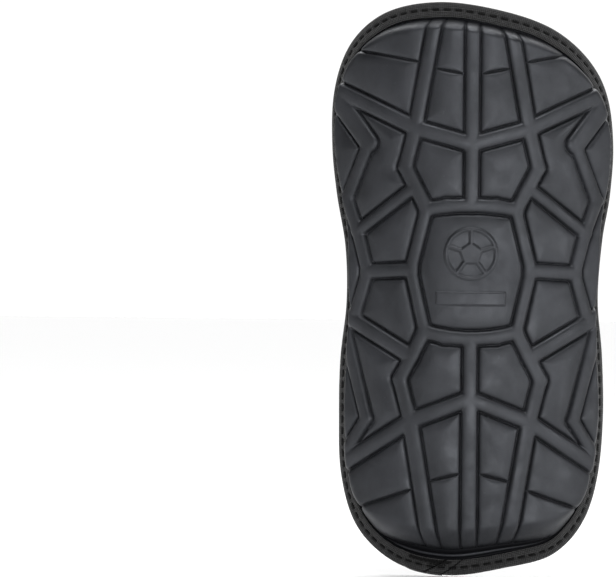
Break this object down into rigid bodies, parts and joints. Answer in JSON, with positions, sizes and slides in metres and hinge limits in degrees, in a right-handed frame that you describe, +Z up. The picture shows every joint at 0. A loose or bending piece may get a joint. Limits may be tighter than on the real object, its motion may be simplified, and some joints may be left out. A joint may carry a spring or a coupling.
{
  "type": "shin guard",
  "caption": "Strapless slip-in shin guard: moulded rubber-skinned foam with ribs and padded cells, a knitted lining and a stitched tape binding round its edge.",
  "frame": {"origin": "the middle of the lining's back, where it meets the shin: on the guard's centre line and half way up it", "axes": "+Z up the leg towards the knee, -Y to the front of the shin and +Y into the leg, +X to the right of a front view; the leg's axis is 62 mm behind the origin, along Z"},
  "size_m": [0.1107, 0.0394, 0.2201],
  "materials": {
    "shell": "satin compression-moulded skin",
    "impact_foam": "closed-cell foam",
    "backing_foam": "soft open foam",
    "lining": "brushed knit",
    "tape": "woven grosgrain",
    "thread": "polyester sewing thread"
  },
  "bodies": {
    "root": {"back_lining": "lining", "comfort_foam": "backing_foam", "impact_foam": "impact_foam", "moulded_shell": "shell", "binding_tape": "tape", "binding_lap": "tape", "front_stitches": "thread", "back_stitches": "thread", "lap_tack_stitches": "thread"}
  },
  "joints": []
}
